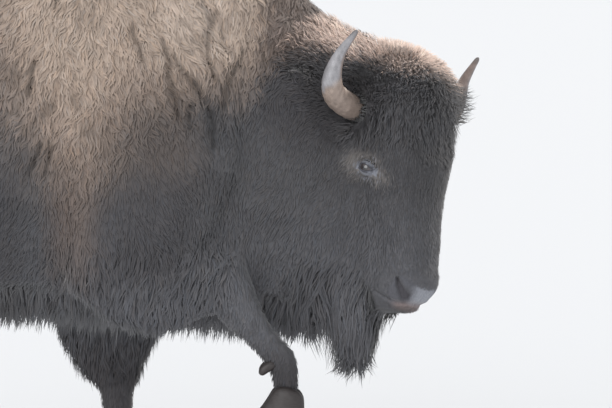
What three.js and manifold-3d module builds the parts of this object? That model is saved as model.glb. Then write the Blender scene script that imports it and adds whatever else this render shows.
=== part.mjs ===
// American bison bull in winter coat, life size, walking: right foreleg lifted and reaching,
// head carried low and turned to its right. Millimetres, +X is the way it walks, +Z is up,
// so its right side looks towards -Y. The solids are the outer form, out to the tips of the coat.
import * as THREE from 'three';
import { LoftGeometry } from 'three/addons/geometries/LoftGeometry.js';
import { mergeVertices } from 'three/addons/utils/BufferGeometryUtils.js';
import Module from 'manifold-3d';

const wasm = await Module();
wasm.setup();

// ---- driving dimensions -------------------------------------------------------------------
// X is measured from the elbows, Y from the middle of the body, Z from the ground.
const GAP = 0.3; // clearance between touching parts
const HUMP = 1790; // height of the hump, with its hair
const HIPS = 1392; // height over the hip bones
const BELLY = 640; // height of the coat under the ribs
const BRISKET = 560; // height of the hair under the chest
const GIRTH = 350; // half the width behind the shoulders, with hair
const HIP_WIDTH = 272; // half the width over the hips
const LEAN = 20; // the trunk leans this far over the standing foreleg

const HEAD = { x: 765, y: -112, z: 936 }; // midway between the eyes
const HEAD_TURN = -36; // degrees, towards its right
const HEAD_ROLL = -10; // degrees, left side lower
const HEAD_NOD = -4; // degrees, muzzle forward
const FACE = 108; // depth of the face in front of the line between the eyes
const BONNET = 332; // top of the hair between the horns, above the eyes
const MUZZLE = -353; // end of the lips, below the eyes
const EYE = { radius: 21, out: 134, forward: -4 };
const HORN = { root: 33, tip: 5, spread: 284, tipOut: 276, tipUp: 328 };
const EAR = { length: 205, width: 56, thick: 19, rise: 34, sweep: 8 }; // rise and sweep in degrees

const CLAW = { fore: 58, aft: 52, half: 25, height: 70, cleft: 3 };
const TAIL_ROOT = { x: -1452, z: 1238 };
const SIDES = { right: -1, left: 1 };

// ---- colours ------------------------------------------------------------------------------
const finish = (color, roughness) => new THREE.MeshStandardMaterial({ color, roughness, metalness: 0 });
const paint = {
  cape: () => finish(0x9a7d62, 0.95),
  brown: () => finish(0x4b3a2f, 0.95),
  dark: () => finish(0x2e2521, 0.95),
  horn: () => finish(0x8d8480, 0.45),
  hoof: () => finish(0x2b2725, 0.5),
  eye: () => finish(0x17110e, 0.08),
};

// ---- lofts --------------------------------------------------------------------------------
const ACROSS = new THREE.Vector3(0, 1, 0);
const PLAIN = { y: 0, crown: 2, keel: 2 };
const DOME = [[0.5, 0.86], [0.87, 0.5]]; // past the end by this much of its size, and so wide there

// Catmull-Rom curve through every named size of a row of stations
function refine(stations, steps) {
  const dense = [];
  const last = stations.length - 1;
  for (let i = 0; i < last; i++) {
    const [a, b, c, d] = [i - 1, i, i + 1, i + 2].map((k) => stations[Math.min(last, Math.max(0, k))]);
    for (let step = 0; step < steps; step++) {
      const t = step / steps;
      const station = {};
      for (const name of Object.keys(b)) {
        const into = (c[name] - a[name]) / 2;
        const outOf = (d[name] - b[name]) / 2;
        const rise = c[name] - b[name];
        station[name] = b[name] + t * into
          + t ** 2 * (3 * rise - 2 * into - outOf)
          + t ** 3 * (into + outOf - 2 * rise);
      }
      dense.push(station);
    }
  }
  dense.push(stations[last]);
  return dense;
}

// A station is a rounded section: half its width, its depth fore and aft of the middle, and
// how square it is on either side (2 is an ellipse, less is a ridge, more is a box).
function section(station, along, corners, grow) {
  const side = ACROSS.clone().addScaledVector(along, -ACROSS.dot(along)).normalize();
  const fore = along.clone().cross(side);
  const middle = new THREE.Vector3(station.x, station.y, station.z);
  return Array.from({ length: corners }, (_, i) => {
    const angle = (2 * Math.PI * (i + 0.5)) / corners;
    const [cos, sin] = [Math.cos(angle), Math.sin(angle)];
    const power = 2 / (sin > 0 ? station.crown : station.keel);
    const depth = sin > 0 ? station.fore : station.aft;
    const out = Math.sign(cos) * Math.abs(cos) ** power * (station.half + grow);
    const up = Math.sign(sin) * Math.abs(sin) ** power * (depth + grow);
    return middle.clone().addScaledVector(side, out).addScaledVector(fore, up);
  });
}

// Loft through the stations. dome is how round its ends are, grow swells it by a clearance.
function loft(stations, { steps = 1, corners = 16, along = null, dome = 1, grow = 0 } = {}) {
  const dense = refine(stations.map((station) => ({ ...PLAIN, ...station })), steps);
  const end = dense.length - 1;
  const place = (i) => new THREE.Vector3(dense[i].x, dense[i].y, dense[i].z);
  const heading = (i) => along?.clone()
    ?? place(Math.min(end, i + 1)).sub(place(Math.max(0, i - 1))).normalize();
  const ring = (i, scale, ahead) => {
    const station = { ...dense[i] };
    for (const name of ['half', 'fore', 'aft']) station[name] *= scale;
    return section(station, heading(i), corners, grow)
      .map((point) => point.addScaledVector(heading(i), ahead));
  };
  const cap = (i, sign) => {
    if (!dome) return [];
    const size = Math.min(dense[i].half, dense[i].fore, dense[i].aft);
    return DOME.map(([past, wide]) => ring(i, wide, sign * (past * dome * size + grow)));
  };
  const rings = cap(0, -1).reverse();
  for (let i = 0; i <= end; i++) {
    const atEnd = dome ? 0 : (i === end) - (i === 0);
    rings.push(ring(i, 1, atEnd * grow));
  }
  rings.push(...cap(end, 1));
  return new LoftGeometry(rings, { capStart: true, capEnd: true });
}

// ---- solids -------------------------------------------------------------------------------
function solid(geometry) {
  const bare = new THREE.BufferGeometry().copy(geometry);
  bare.deleteAttribute('normal');
  bare.deleteAttribute('uv');
  const merged = mergeVertices(bare);
  const vertProperties = new Float32Array(merged.attributes.position.array);
  const triVerts = new Uint32Array(merged.index.array);
  const make = () => new wasm.Manifold(new wasm.Mesh({ numProp: 3, vertProperties, triVerts }));
  const shape = make();
  if (shape.volume() > 0) return shape;
  for (let i = 0; i < triVerts.length; i += 3) {
    [triVerts[i], triVerts[i + 1]] = [triVerts[i + 1], triVerts[i]];
  }
  return make();
}

const joined = (shapes) => shapes.reduce((sum, shape) => sum.add(shape));
const largest = (shape) => shape.decompose().sort((a, b) => b.volume() - a.volume())[0];

const group = new THREE.Group();
function add(name, shape, material) {
  const { vertProperties, triVerts } = shape.getMesh();
  const geometry = new THREE.BufferGeometry();
  geometry.setAttribute('position', new THREE.BufferAttribute(vertProperties, 3));
  geometry.setIndex(new THREE.BufferAttribute(triVerts, 1));
  const mesh = new THREE.Mesh(geometry, material);
  mesh.name = name;
  group.add(mesh);
}

// ---- trunk and neck -----------------------------------------------------------------------
const FORWARD = new THREE.Vector3(1, 0, 0);

// The outline of the body from the buttocks to behind the head: its top, its widest level,
// its underside and half its width. crown is low where the hump is a ridge.
const bodyLine = [
  { x: -1400, top: 1266, wide: 1040, low: 842, half: 172, crown: 2, keel: 2 },
  { x: -1300, top: 1342, wide: 1045, low: 785, half: 242, crown: 2, keel: 2.1 },
  { x: -1130, top: HIPS - 4, wide: 1050, low: 755, half: HIP_WIDTH, crown: 1.9, keel: 2.1 },
  { x: -920, top: HIPS + 4, wide: 1010, low: 735, half: 292, crown: 2, keel: 2.2 },
  { x: -700, top: HIPS + 34, wide: 980, low: 692, half: 326, crown: 1.95, keel: 2.2 },
  { x: -480, top: 1505, wide: 980, low: BELLY, half: GIRTH - 4, crown: 1.85, keel: 2.2 },
  { x: -290, top: 1635, wide: 980, low: 592, half: GIRTH, crown: 1.75, keel: 2.2 },
  { x: -120, top: 1745, wide: 990, low: 576, half: GIRTH + 4, crown: 1.7, keel: 2.2 },
  { x: 30, top: HUMP, wide: 990, low: BRISKET + 8, half: GIRTH + 4, crown: 1.7, keel: 2.2 },
  { x: 170, top: 1742, wide: 980, low: BRISKET, half: GIRTH - 4, crown: 1.7, keel: 2.2 },
  { x: 310, top: 1602, wide: 970, low: BRISKET - 8, half: 318, crown: 1.75, keel: 2.1 },
  { x: 440, top: 1458, wide: 950, low: BRISKET - 18, half: 262, crown: 1.85, keel: 2 },
  { x: 550, top: 1372, wide: 920, low: BRISKET - 28, half: 205, crown: 1.95, keel: 2 },
  { x: 630, top: 1324, wide: 900, low: BRISKET - 10, half: 155, crown: 2, keel: 2 },
  { x: 700, top: 1296, wide: 900, low: BRISKET + 50, half: 122, crown: 2, keel: 2 },
];
const NECK_X = 200; // the neck starts to turn to the right here
const body = loft(bodyLine.map(({ x, top, wide, low, half, crown, keel }) => ({
  x, y: LEAN - Math.max(0, x - NECK_X) ** 2 * 3e-4,
  z: wide, half, fore: top - wide, aft: wide - low, crown, keel,
})), { steps: 2, corners: 18, along: FORWARD });

// shoulder and upper arm under the hair, from the blade to the elbow
const shoulder = (sign) => loft([
  { x: 120, y: sign * 150, z: 1390, half: 95, fore: 150, aft: 160 },
  { x: 190, y: sign * 205, z: 1180, half: 138, fore: 195, aft: 215 },
  { x: 190, y: sign * 236, z: 1000, half: 142, fore: 205, aft: 240 },
  { x: 130, y: sign * 250, z: 850, half: 128, fore: 185, aft: 215 },
  { x: 55, y: sign * 258, z: 735, half: 102, fore: 130, aft: 150 },
], { corners: 10 });

// A bull's sheath, a tuft of hair under the belly, and his scrotum between the thighs
const sheath = loft([
  { x: -600, y: LEAN, z: 700, half: 52, fore: 70, aft: 70 },
  { x: -592, y: LEAN, z: 640, half: 36, fore: 44, aft: 44 },
  { x: -586, y: LEAN, z: 585, half: 16, fore: 18, aft: 18 },
], { corners: 8 });
const scrotum = loft([
  { x: -1150, y: LEAN, z: 790, half: 44, fore: 42, aft: 42 },
  { x: -1158, y: LEAN, z: 715, half: 46, fore: 42, aft: 42 },
], { corners: 8 });

// ---- legs ---------------------------------------------------------------------------------
// A foot's place is the middle of its sole, and its tilt lowers the toe, in degrees.
const feet = {
  fore_left: { x: 62, y: 68, z: 0, tilt: 0 },
  fore_right: { x: 468, y: -241, z: 326, tilt: 14 },
  hind_left: { x: -1436, y: 190, z: 0, tilt: 0 },
  hind_right: { x: -884, y: -238, z: 0, tilt: 0 },
};
const placed = (geometry, foot) => geometry
  .rotateY(THREE.MathUtils.degToRad(foot.tilt))
  .translate(foot.x, foot.y, foot.z);

// fetlock, pastern and the top of the hoof, over each foot
function ankle(foot) {
  const line = [
    { x: -30, z: 142, half: 39, fore: 39, aft: 48 },
    { x: -14, z: 98, half: 36, fore: 38, aft: 41 },
    { x: -6, z: 58, half: 40, fore: 40, aft: 40 },
  ];
  const tilt = THREE.MathUtils.degToRad(foot.tilt);
  return line.map(({ x, z, ...size }) => ({
    x: foot.x + x * Math.cos(tilt) + z * Math.sin(tilt),
    y: foot.y,
    z: foot.z + z * Math.cos(tilt) - x * Math.sin(tilt),
    ...size,
  }));
}
const leg = (foot, stations) => loft([...stations, ...ankle(foot)], { corners: 10, dome: 0 });

// The standing foreleg: hair in thick chaps down to the knee, then the bare cannon.
const standingFore = leg(feet.fore_left, [
  { x: 42, y: 262, z: 790, half: 100, fore: 150, aft: 150 },
  { x: 25, y: 232, z: 680, half: 100, fore: 172, aft: 165 },
  { x: 14, y: 196, z: 585, half: 98, fore: 185, aft: 160 },
  { x: 12, y: 162, z: 500, half: 86, fore: 150, aft: 142 },
  { x: 24, y: 132, z: 425, half: 66, fore: 96, aft: 100 },
  { x: 38, y: 112, z: 358, half: 45, fore: 48, aft: 56 },
  { x: 40, y: 92, z: 260, half: 34, fore: 36, aft: 43 },
]);

// The lifted foreleg: the forearm reaches forward, hair hanging under it, the cannon hangs.
const liftedForearm = loft([
  { x: 0, y: -268, z: 735, half: 88, fore: 95, aft: 120 },
  { x: 70, y: -268, z: 712, half: 88, fore: 80, aft: 152 },
  { x: 145, y: -266, z: 700, half: 84, fore: 76, aft: 165 },
  { x: 220, y: -262, z: 694, half: 78, fore: 74, aft: 148 },
  { x: 285, y: -257, z: 690, half: 74, fore: 72, aft: 108 },
], { corners: 10 });
const liftedCannon = leg(feet.fore_right, [
  { x: 306, y: -254, z: 712, half: 66, fore: 66, aft: 74 },
  { x: 346, y: -251, z: 645, half: 60, fore: 56, aft: 78 },
  { x: 380, y: -248, z: 586, half: 48, fore: 44, aft: 66 },
  { x: 414, y: -245, z: 534, half: 37, fore: 38, aft: 47 },
]);

// Hind legs. The right one has stepped forward and wide, the left one pushes off behind.
const forwardHind = leg(feet.hind_right, [
  { x: -1205, y: -120, z: 1215, half: 110, fore: 160, aft: 170 },
  { x: -1150, y: -160, z: 1050, half: 126, fore: 222, aft: 240 },
  { x: -1050, y: -200, z: 890, half: 108, fore: 165, aft: 215 },
  { x: -985, y: -226, z: 760, half: 82, fore: 112, aft: 150 },
  { x: -1000, y: -235, z: 650, half: 58, fore: 70, aft: 88 },
  { x: -1040, y: -238, z: 560, half: 46, fore: 50, aft: 62 },
  { x: -1052, y: -238, z: 500, half: 42, fore: 46, aft: 50 },
  { x: -1015, y: -238, z: 400, half: 35, fore: 37, aft: 41 },
  { x: -966, y: -238, z: 270, half: 33, fore: 35, aft: 41 },
]);
const trailingHind = leg(feet.hind_left, [
  { x: -1205, y: 125, z: 1215, half: 110, fore: 160, aft: 170 },
  { x: -1205, y: 172, z: 1050, half: 126, fore: 222, aft: 232 },
  { x: -1190, y: 210, z: 890, half: 108, fore: 175, aft: 195 },
  { x: -1205, y: 224, z: 775, half: 82, fore: 126, aft: 138 },
  { x: -1275, y: 224, z: 665, half: 58, fore: 74, aft: 86 },
  { x: -1370, y: 216, z: 585, half: 46, fore: 52, aft: 60 },
  { x: -1410, y: 212, z: 530, half: 42, fore: 46, aft: 50 },
  { x: -1418, y: 206, z: 440, half: 35, fore: 37, aft: 41 },
  { x: -1438, y: 198, z: 300, half: 33, fore: 35, aft: 41 },
]);

// A cloven hoof is two claws, with two dewclaws behind the fetlock.
function clawShape(sign, grow) {
  const { fore, aft, half, height, cleft } = CLAW;
  const y = sign * (half + cleft);
  return loft([
    { x: 0, y, z: 0, half: half - 1, fore: fore - 2, aft: aft - 2, crown: 1.8, keel: 2.4 },
    { x: 0, y, z: 5, half, fore, aft, crown: 1.8, keel: 2.4 },
    { x: -2, y, z: height * 0.55, half: half - 1, fore: fore * 0.74, aft: aft * 0.92, keel: 2.4 },
    { x: -5, y, z: height, half: half - 4, fore: fore * 0.5, aft: aft * 0.7 },
  ], { corners: 8, along: new THREE.Vector3(0, 0, 1), dome: 0, grow });
}
const dewclawShape = (sign, grow) => loft([
  { x: -54, y: sign * 17, z: 126, half: 11, fore: 11, aft: 11 },
  { x: -72, y: sign * 21, z: 112, half: 12, fore: 12, aft: 12 },
  { x: -80, y: sign * 23, z: 96, half: 7, fore: 7, aft: 7 },
], { corners: 6, dome: 0, grow });

// ---- head ---------------------------------------------------------------------------------
// Stations down the head from the hair on top to the lips, in the head's own frame:
// up is away from the muzzle, fore is out of the face.
const headLine = [
  { z: BONNET - 14, y: -18, fore: 60, aft: 134, half: 84, crown: 2, keel: 2 },
  { z: BONNET - 54, y: -6, fore: 106, aft: 162, half: 144, crown: 2.2, keel: 2 },
  { z: 225, fore: 134, aft: 168, half: 178, crown: 2.3, keel: 2 },
  { z: 155, fore: 133, aft: 166, half: 176, crown: 2.4, keel: 2 },
  { z: 85, fore: 120, aft: 164, half: 160, crown: 2.4, keel: 2 },
  { z: 15, fore: FACE + 10, aft: 164, half: 146, crown: 2.4, keel: 2 },
  { z: -50, fore: FACE, aft: 168, half: 130, crown: 2.5, keel: 2 },
  { z: -115, fore: FACE, aft: 170, half: 113, crown: 2.6, keel: 2 },
  { z: -180, fore: FACE + 5, aft: 158, half: 97, crown: 2.8, keel: 2 },
  { z: -240, fore: FACE + 4, aft: 138, half: 85, crown: 3, keel: 2.1 },
  { z: MUZZLE + 72, fore: FACE + 4, aft: 110, half: 83, crown: 3.2, keel: 2.2 },
  { z: MUZZLE + 42, fore: FACE - 9, aft: 88, half: 76, crown: 3.2, keel: 2.3 },
  { z: MUZZLE + 20, fore: FACE - 30, aft: 66, half: 62, crown: 2.8, keel: 2.3 },
];
const skull = loft(headLine.map((station) => ({ ...station, x: 0 })), { corners: 18, dome: 0.4 });

// The ring of bone round each eye stands proud of the cheek.
const orbit = (sign) => new THREE.SphereGeometry(1, 8, 5)
  .scale(50, 46, 42)
  .translate(EYE.forward - 2, sign * (EYE.out - 22), 8);

// A nostril is a comma that opens forward and out, at the corner of the muzzle.
const nostril = (sign) => loft([
  { x: 62, y: sign * 40, z: -288, half: 7, fore: 12, aft: 12 },
  { x: 78, y: sign * 52, z: -296, half: 11, fore: 17, aft: 17 },
  { x: 98, y: sign * 68, z: -300, half: 15, fore: 20, aft: 20 },
], { corners: 8, dome: 0 });

const beardShape = loft([
  { x: -76, z: -215, half: 76, fore: 58, aft: 108 },
  { x: -84, z: -300, half: 76, fore: 50, aft: 116 },
  { x: -94, z: -368, half: 70, fore: 58, aft: 108 },
  { x: -102, z: -424, half: 58, fore: 56, aft: 90 },
  { x: -108, z: -464, half: 38, fore: 38, aft: 60 },
], { corners: 10 });

const inHead = new THREE.Matrix4().makeTranslation(HEAD.x, HEAD.y, HEAD.z);
for (const [axis, degrees] of [['Z', HEAD_TURN], ['X', HEAD_ROLL], ['Y', HEAD_NOD]]) {
  const turn = new THREE.Matrix4()[`makeRotation${axis}`](THREE.MathUtils.degToRad(degrees));
  inHead.multiply(turn);
}
const onHead = (geometry) => solid(geometry.applyMatrix4(inHead));

function hornShape(sign, grow) {
  const { root, tip, spread, tipOut, tipUp } = HORN;
  const line = [
    { x: -46, out: 105, z: 152, radius: root - 2 },
    { x: -42, out: 180, z: 156, radius: root - 1 },
    { x: -34, out: spread - 31, z: 177, radius: root - 4 },
    { x: -21, out: spread - 2, z: 219, radius: root - 10 },
    { x: 0, out: spread - 2, z: 274, radius: root - 20 },
    { x: 42, out: tipOut, z: tipUp, radius: tip },
  ];
  return loft(line.map(({ x, out, z, radius }) => ({
    x, y: sign * out, z, half: radius, fore: radius, aft: radius,
  })), { steps: 2, corners: 8, grow });
}

// A leaf of skin and hair behind each horn, swept back and out.
function earShape(sign, grow) {
  const { length, width, thick, rise, sweep } = EAR;
  const leaf = [[0, 0.55], [0.25, 0.86], [0.55, 1], [0.8, 0.78], [1, 0.34]];
  const upright = loft(leaf.map(([along, wide]) => ({
    x: 0, z: along * length, half: width * wide, fore: thick * wide, aft: thick * wide,
  })), { corners: 6, grow });
  return upright
    .rotateX(-sign * THREE.MathUtils.degToRad(90 - rise))
    .rotateZ(sign * THREE.MathUtils.degToRad(sweep))
    .translate(-112, sign * 134, 122);
}

const eyeball = (sign, grow) => {
  const ball = new THREE.SphereGeometry(EYE.radius + grow, 9, 6);
  ball.translate(EYE.forward, sign * EYE.out, 0);
  return ball;
};

// ---- tail ---------------------------------------------------------------------------------
const tailShape = (grow) => loft([
  { x: TAIL_ROOT.x + 40, z: TAIL_ROOT.z, half: 30, fore: 27, aft: 27 },
  { x: TAIL_ROOT.x - 40, z: TAIL_ROOT.z - 2, half: 28, fore: 26, aft: 26 },
  { x: TAIL_ROOT.x - 92, z: TAIL_ROOT.z - 62, half: 23, fore: 22, aft: 22 },
  { x: TAIL_ROOT.x - 110, z: TAIL_ROOT.z - 165, half: 19, fore: 19, aft: 19 },
  { x: TAIL_ROOT.x - 112, z: TAIL_ROOT.z - 262, half: 20, fore: 20, aft: 20 },
  { x: TAIL_ROOT.x - 110, z: TAIL_ROOT.z - 350, half: 34, fore: 32, aft: 32 },
  { x: TAIL_ROOT.x - 106, z: TAIL_ROOT.z - 430, half: 27, fore: 25, aft: 25 },
  { x: TAIL_ROOT.x - 102, z: TAIL_ROOT.z - 500, half: 9, fore: 9, aft: 9 },
].map((station) => ({ ...station, y: LEAN })), { corners: 8, grow });

// ---- one body, then parted by thin cuts ---------------------------------------------------
// A block that parts a region off: its size, its place, its tilt about Y in degrees. grow
// leaves the clearance round what it takes.
function block({ size, at, tilt = 0, onHead: headward = false }, grow) {
  const box = new THREE.BoxGeometry(...size.map((edge) => edge + 2 * grow))
    .rotateY(THREE.MathUtils.degToRad(tilt))
    .translate(...at);
  return headward ? onHead(box) : solid(box);
}

let rest = joined([
  body, shoulder(SIDES.right), shoulder(SIDES.left), standingFore, liftedForearm, liftedCannon,
  forwardHind, trailingHind, sheath, scrotum,
].map(solid).concat([
  skull, beardShape, orbit(SIDES.right), orbit(SIDES.left),
].map(onHead)));
for (const sign of Object.values(SIDES)) rest = rest.subtract(onHead(nostril(sign)));

// horns, ears, eyes, claws and tail stand in their own sockets
const fittings = [{ name: 'tail', shape: (grow) => solid(tailShape(grow)), look: paint.brown }];
for (const [side, sign] of Object.entries(SIDES)) {
  fittings.push({ name: `horn_${side}`, shape: (grow) => onHead(hornShape(sign, grow)), look: paint.horn });
  fittings.push({ name: `ear_${side}`, shape: (grow) => onHead(earShape(sign, grow)), look: paint.dark });
  fittings.push({ name: `eye_${side}`, shape: (grow) => onHead(eyeball(sign, grow)), look: paint.eye });
}
for (const [foot, place] of Object.entries(feet)) {
  const outward = Math.sign(place.y);
  for (const [side, sign] of [['inner', -outward], ['outer', outward]]) {
    const claw = (grow) => solid(placed(clawShape(sign, grow), place));
    const dewclaw = (grow) => solid(placed(dewclawShape(sign, grow), place));
    fittings.push({ name: `hoof_${foot}_${side}`, shape: claw, look: paint.hoof });
    fittings.push({ name: `dewclaw_${foot}_${side}`, shape: dewclaw, look: paint.hoof });
  }
}
for (const { name, shape, look } of fittings) {
  add(name, shape(0), look());
  rest = rest.subtract(shape(GAP));
}

// Each region takes its part off what is left, so their order matters.
const regions = [
  { name: 'beard', size: [170, 300, 400], at: [-118, 0, -500], onHead: true, look: paint.dark },
  { name: 'lower_jaw', size: [200, 300, 200], at: [-88, 0, -352], tilt: -9, onHead: true, look: paint.dark },
  { name: 'muzzle', size: [400, 300, 200], at: [150, 0, -336], onHead: true, look: paint.dark },
  { name: 'forelock', size: [420, 600, 300], at: [50, 0, 346], tilt: 13, onHead: true, look: paint.dark },
  { name: 'foreleg_right_lower', size: [280, 200, 500], at: [475, -245, 445], tilt: -30, look: paint.dark },
  { name: 'foreleg_right_upper', size: [470, 300, 600], at: [105, -322, 470], look: paint.dark },
  { name: 'foreleg_left_lower', size: [400, 400, 390], at: [40, 120, 195], look: paint.dark },
  { name: 'foreleg_left_upper', size: [400, 330, 300], at: [22, 258, 540], look: paint.dark },
  { name: 'head', size: [500, 700, 1200], at: [125, 0, 40], onHead: true, look: paint.dark },
  { name: 'neck', size: [700, 1000, 1600], at: [700, 0, 1100], tilt: -14, look: paint.dark },
  { name: 'hind_right_lower', size: [420, 260, 530], at: [-970, -250, 265], look: paint.dark },
  { name: 'hind_left_lower', size: [420, 260, 560], at: [-1420, 230, 280], look: paint.dark },
  { name: 'hind_right_upper', size: [440, 350, 400], at: [-1080, -290, 660], look: paint.brown },
  { name: 'hind_left_upper', size: [460, 350, 400], at: [-1275, 290, 660], look: paint.brown },
  { name: 'hindquarters', size: [800, 1000, 1600], at: [-1330, 0, 1100], look: paint.brown },
  { name: 'barrel', size: [800, 1000, 1600], at: [-730, 0, 1100], look: paint.brown },
  { name: 'hump', size: [1200, 1000, 600], at: [0, 0, 1540], look: paint.cape },
  { name: 'shoulders', size: [1400, 1000, 1400], at: [0, 0, 700], look: paint.cape },
];
for (const region of regions) {
  add(region.name, largest(rest.intersect(block(region, 0))), region.look());
  rest = rest.subtract(block(region, GAP));
}

// the origin is on the ground, under the middle of the whole
const bounds = new THREE.Box3().setFromObject(group);
const middle = bounds.getCenter(new THREE.Vector3());
group.position.set(-middle.x, -middle.y, -bounds.min.z);

export default group;
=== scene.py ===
"""American bison bull in winter coat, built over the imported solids, in metres.

The solids reach out to the tips of the coat. One skin is drawn through all the nodes of flesh
and sunk below them by the depth of the coat, then thousands of tufts are rooted on it and
combed along the lie of the hair. Horns, hooves and eyes are pieces of their own.
"""
import math

import bmesh
import bpy
import numpy as np
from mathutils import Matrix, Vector
from mathutils.bvhtree import BVHTree
from mathutils.kdtree import KDTree


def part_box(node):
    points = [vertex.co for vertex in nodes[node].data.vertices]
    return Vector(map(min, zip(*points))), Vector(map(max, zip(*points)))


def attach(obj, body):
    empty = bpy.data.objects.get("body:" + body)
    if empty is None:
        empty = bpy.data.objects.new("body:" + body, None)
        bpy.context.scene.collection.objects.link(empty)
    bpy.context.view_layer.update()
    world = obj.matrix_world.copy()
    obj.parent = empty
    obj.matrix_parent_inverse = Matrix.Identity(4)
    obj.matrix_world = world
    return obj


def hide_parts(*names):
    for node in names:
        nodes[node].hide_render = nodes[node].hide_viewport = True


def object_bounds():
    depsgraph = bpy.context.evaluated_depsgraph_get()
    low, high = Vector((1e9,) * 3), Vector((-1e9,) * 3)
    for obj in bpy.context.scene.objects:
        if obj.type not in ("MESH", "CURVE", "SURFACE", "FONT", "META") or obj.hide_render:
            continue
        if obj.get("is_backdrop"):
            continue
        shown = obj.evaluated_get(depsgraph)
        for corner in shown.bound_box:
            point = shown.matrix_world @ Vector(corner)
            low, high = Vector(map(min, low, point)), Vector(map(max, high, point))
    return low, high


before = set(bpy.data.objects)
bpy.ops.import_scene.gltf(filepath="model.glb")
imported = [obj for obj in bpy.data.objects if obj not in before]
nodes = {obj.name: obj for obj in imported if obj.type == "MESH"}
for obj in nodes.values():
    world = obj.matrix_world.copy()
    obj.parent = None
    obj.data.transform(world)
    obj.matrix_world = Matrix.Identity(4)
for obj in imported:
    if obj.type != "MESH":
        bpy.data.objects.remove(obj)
cad_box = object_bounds()
scene = bpy.context.scene

SIDES = {"right": -1, "left": 1}
SPARSER, WIDER = ((1, 1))  # a rougher coat while trying things


# ---- small helpers ----
def ramp(value, start, end):
    """0 before start, 1 after end, smooth between; start may be the larger."""
    t = np.clip((value - start) / (end - start), 0, 1)
    return t * t * (3 - 2 * t)


def bell(value, middle, width):
    return np.exp(-((value - middle) / width) ** 2)


def mix(a, b, share):
    return a + (b - a) * np.asarray(share)


def unit(vectors):
    return vectors / np.maximum(np.linalg.norm(vectors, axis=-1, keepdims=True), 1e-9)


def size_of(vectors):
    return np.linalg.norm(vectors, axis=-1)


def columns(*values):
    """Points or directions from their separate numbers."""
    return np.stack(np.broadcast_arrays(*values), axis=1)


def dot(a, b):
    return (a * b).sum(-1, keepdims=True)


def drift(points, size, seed, waves=8):
    """A smooth value that wanders between about -1 and 1 over humps of this size."""
    rng = np.random.default_rng(seed)
    way = unit(rng.normal(size=(waves, 3))) * (2 * math.pi / size) * rng.uniform(0.5, 1.4, (waves, 1))
    return np.sin(points @ way.T + rng.uniform(0, 2 * math.pi, waves)).mean(1) * 2


def tone(red, green, blue):
    """A colour as it looks, from 0 to 255, in the linear light that materials use."""
    shade = np.array([red, green, blue]) / 255
    return np.where(shade > 0.04045, ((shade + 0.055) / 1.055) ** 2.4, shade / 12.92)


def fetch(items, field, kind, width=1):
    """One value, or a row of them, of every item in a mesh's list."""
    flat = np.empty(len(items) * width, kind)
    items.foreach_get(field, flat)
    return flat.reshape(-1, width) if width > 1 else flat


def coordinates(mesh):
    return fetch(mesh.vertices, "co", np.float32, 3).astype(float)


def normals(mesh):
    return fetch(mesh.vertices, "normal", np.float32, 3).astype(float)


def store(items, field, values):
    items.foreach_set(field, np.asarray(values, np.float32).ravel())


def place(mesh, points):
    store(mesh.vertices, "co", points)
    mesh.update()


def as_mesh(shape, name):
    mesh = bpy.data.meshes.new(name)
    shape.to_mesh(mesh)
    shape.free()
    return mesh


def new_object(name, data):
    made = bpy.data.objects.new(name, data)
    scene.collection.objects.link(made)
    return made


def as_modified(piece):
    depsgraph = bpy.context.evaluated_depsgraph_get()
    return bpy.data.meshes.new_from_object(piece.evaluated_get(depsgraph))


def paint(mesh, colours):
    """Keep a colour for every vertex, for the materials to read."""
    layer = mesh.color_attributes.new(name="marking", type="FLOAT_COLOR", domain="POINT")
    rgba = np.ones((len(mesh.vertices), 4))
    rgba[:, :3] = colours
    store(layer.data, "color", rgba)


# ---- landmarks ----
def middle(node):
    low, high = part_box(node)
    return np.array((low + high) / 2)


HEAD_NOD = math.radians(-4)  # the muzzle is carried a little forward
EYE_RADIUS = 0.021
EYE_FORWARD = -0.004  # out of the face: the eyes lie behind the middle of the head
EYE_HALF = 0.0208  # half the length of the opening between the lids

right_eye, left_eye = middle("eye_right"), middle("eye_left")
across = unit(left_eye - right_eye)
level = unit(np.cross(across, [0, 0, 1]))
upright = np.cross(level, across)
out_of_face = math.cos(HEAD_NOD) * level - math.sin(HEAD_NOD) * upright
up_face = math.sin(HEAD_NOD) * level + math.cos(HEAD_NOD) * upright
head_axes = np.array([out_of_face, across, up_face])
eye_out = size_of(left_eye - right_eye) / 2
head_middle = (left_eye + right_eye) / 2 - EYE_FORWARD * out_of_face


def in_head(points):
    """Out of the face, towards its left, and up towards the poll."""
    return (points - head_middle) @ head_axes.T


def from_head(points):
    return np.asarray(points) @ head_axes + head_middle


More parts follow.
